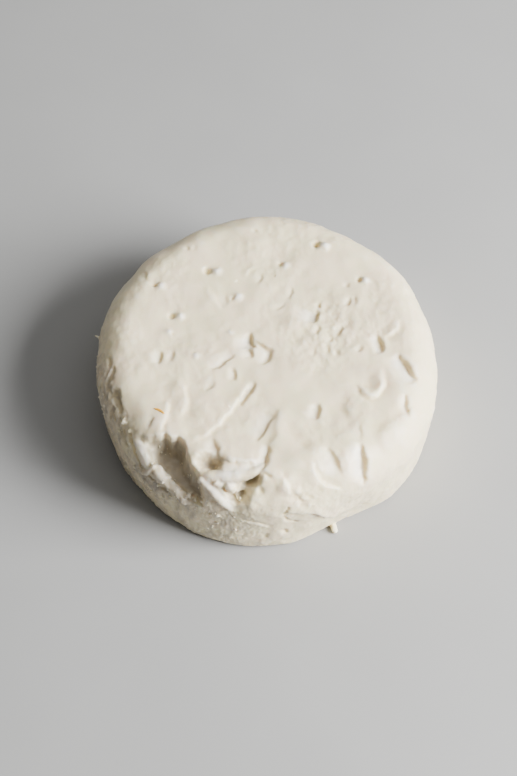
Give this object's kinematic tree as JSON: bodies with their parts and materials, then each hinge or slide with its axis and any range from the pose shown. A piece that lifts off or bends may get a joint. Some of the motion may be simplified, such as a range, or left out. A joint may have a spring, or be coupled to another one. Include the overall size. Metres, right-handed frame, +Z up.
{
  "type": "fresh goat cheese",
  "caption": "Small soft white round of fresh goat cheese with a spread top, small lifted marks and one broken, crumbly edge.",
  "frame": {"origin": "centre of the round's flat base, on the surface it rests on", "axes": "+Z up through the top, -Y to the front, where the viewer stands, +X to the viewer's right; the broken edge is at the front left"},
  "size_m": [0.0899, 0.0905, 0.032],
  "materials": {
    "fresh_paste": null
  },
  "bodies": {
    "root": {"cheese": "fresh_paste"}
  },
  "joints": []
}
